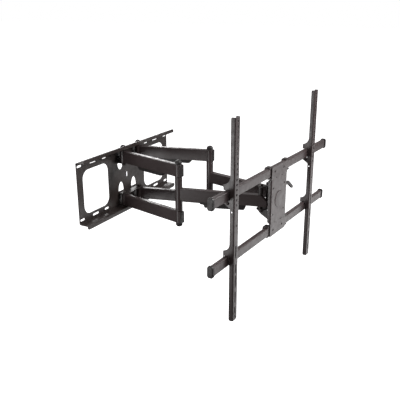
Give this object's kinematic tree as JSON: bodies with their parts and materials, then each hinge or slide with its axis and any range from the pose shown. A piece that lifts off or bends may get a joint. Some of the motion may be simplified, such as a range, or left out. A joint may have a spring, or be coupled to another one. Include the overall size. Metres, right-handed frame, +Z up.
{
  "type": "full motion tv wall mount",
  "caption": "Full motion television wall mount: folded wall plate, double arms with elbows, swivelling and tilting head, cross rails and sliding vertical brackets.",
  "frame": {"origin": "middle of the wall plate's back face, where it meets the wall", "axes": "+X right along the wall as seen from the room, +Y into the wall, +Z up; the television is on the -Y side"},
  "size_m": [0.8387, 0.6383, 0.616],
  "materials": {
    "powder_coat": "satin charcoal powder coat",
    "dark_coat": "dark matt powder coat",
    "black_plastic": "matt black moulded plastic",
    "bolt_steel": "black oxide"
  },
  "bodies": {
    "wall_body": {"wall_plate": "powder_coat", "hinge_shelf_upper": "dark_coat", "hinge_shelf_lower": "dark_coat", "wall_pivot_bolt_upper_left": "bolt_steel", "wall_pivot_cap_upper_left": "black_plastic", "wall_pivot_bolt_upper_right": "bolt_steel", "wall_pivot_cap_upper_right": "black_plastic", "wall_pivot_bolt_lower_left": "bolt_steel", "wall_pivot_cap_lower_left": "black_plastic", "wall_pivot_bolt_lower_right": "bolt_steel", "wall_pivot_cap_lower_right": "black_plastic"},
    "left_rear_arm": {"left_rear_arm_upper": "powder_coat", "left_rear_arm_lower": "powder_coat", "left_rear_end_cap_upper": "black_plastic", "left_rear_end_cap_lower": "black_plastic", "left_elbow_pin": "bolt_steel", "left_elbow_cap_upper": "black_plastic", "left_elbow_cap_lower": "black_plastic", "left_rear_cable_clip": "black_plastic"},
    "left_front_arm_body": {"left_front_arm": "powder_coat", "left_front_cable_clip": "black_plastic"},
    "right_rear_arm": {"right_rear_arm_upper": "powder_coat", "right_rear_arm_lower": "powder_coat", "right_rear_end_cap_upper": "black_plastic", "right_rear_end_cap_lower": "black_plastic", "right_elbow_pin": "bolt_steel", "right_elbow_cap_upper": "black_plastic", "right_elbow_cap_lower": "black_plastic", "right_rear_cable_clip": "black_plastic"},
    "right_front_arm_body": {"right_front_arm": "powder_coat", "right_front_cable_clip": "black_plastic"},
    "yoke_body": {"yoke": "dark_coat", "kingpin": "bolt_steel", "yoke_pivot_bolt_left": "bolt_steel", "yoke_pivot_bolt_right": "bolt_steel", "yoke_pivot_sleeve_left": "dark_coat", "yoke_pivot_sleeve_right": "dark_coat"},
    "swivel_head": {"swivel_bracket": "dark_coat", "tilt_bolt": "bolt_steel", "clamp_bolt": "bolt_steel"},
    "lever": {"clamp_lever": "black_plastic"},
    "tv_frame": {"centre_plate": "powder_coat", "tilt_cheek_left": "dark_coat", "tilt_cheek_right": "dark_coat", "rail_upper": "powder_coat", "rail_lower": "powder_coat", "rail_cap_upper_left": "black_plastic", "rail_cap_upper_right": "black_plastic", "rail_cap_lower_left": "black_plastic", "rail_cap_lower_right": "black_plastic", "rail_clamp_upper_left": "dark_coat", "rail_clamp_upper_right": "dark_coat", "rail_clamp_lower_left": "dark_coat", "rail_clamp_lower_right": "dark_coat"},
    "left_bracket": {"left_tv_bracket": "powder_coat", "left_bracket_extension": "powder_coat", "left_safety_screw": "bolt_steel"},
    "right_bracket": {"right_tv_bracket": "powder_coat", "right_bracket_extension": "powder_coat", "right_safety_screw": "bolt_steel"}
  },
  "joints": [
    {"name": "left_arm_swing", "type": "hinge", "parent": "wall_body", "child": "left_rear_arm", "pos_m": [-0.047, -0.024, 0], "axis": [0, 0, -1], "range_deg": [-12.6, 62.4]},
    {"name": "left_elbow_fold", "type": "hinge", "parent": "left_rear_arm", "child": "left_front_arm_body", "pos_m": [-0.11237, -0.29421, 0], "axis": [0, 0, 1], "range_deg": [-25.4, 125]},
    {"name": "yoke_square", "type": "hinge", "parent": "left_front_arm_body", "child": "yoke_body", "pos_m": [-0.047, -0.56441, 0], "axis": [0, 0, -1], "range_deg": [-12.8, 62.6]},
    {"name": "right_arm_swing", "type": "hinge", "parent": "wall_body", "child": "right_rear_arm", "pos_m": [0.047, -0.024, 0], "axis": [0, 0, 1], "range_deg": [-12.8, 62.6]},
    {"name": "right_elbow_fold", "type": "hinge", "parent": "right_rear_arm", "child": "right_front_arm_body", "pos_m": [0.11237, -0.29421, 0], "axis": [0, 0, -1], "range_deg": [-25.4, 125]},
    {"name": "head_swivel", "type": "hinge", "parent": "yoke_body", "child": "swivel_head", "pos_m": [0, -0.58041, 0], "axis": [0, 0, 1], "range_deg": [-5.5, 5.5]},
    {"name": "head_tilt", "type": "hinge", "parent": "swivel_head", "child": "tv_frame", "pos_m": [-0.00092, -0.59638, -0.021], "axis": [0.9983, -0.0576, 0], "range_deg": [-3, 12]},
    {"name": "clamp_lever_turn", "type": "hinge", "parent": "swivel_head", "child": "lever", "pos_m": [-0.00092, -0.59638, 0.026], "axis": [0.9983, -0.0576, 0], "range_deg": [-30, 30]},
    {"name": "left_bracket_slide", "type": "slide", "parent": "tv_frame", "child": "left_bracket", "axis": [0.9983, -0.0576, 0], "range_m": [-0.07, 0.23]},
    {"name": "right_bracket_slide", "type": "slide", "parent": "tv_frame", "child": "right_bracket", "axis": [0.9983, -0.0576, 0], "range_m": [-0.09, 0.14]}
  ],
  "couplings": [
    {"joint": "left_elbow_fold", "follows": "left_arm_swing", "ratio": 2},
    {"joint": "yoke_square", "follows": "left_arm_swing", "ratio": 1},
    {"joint": "right_arm_swing", "follows": "left_arm_swing", "ratio": 1},
    {"joint": "right_elbow_fold", "follows": "left_arm_swing", "ratio": 2}
  ]
}
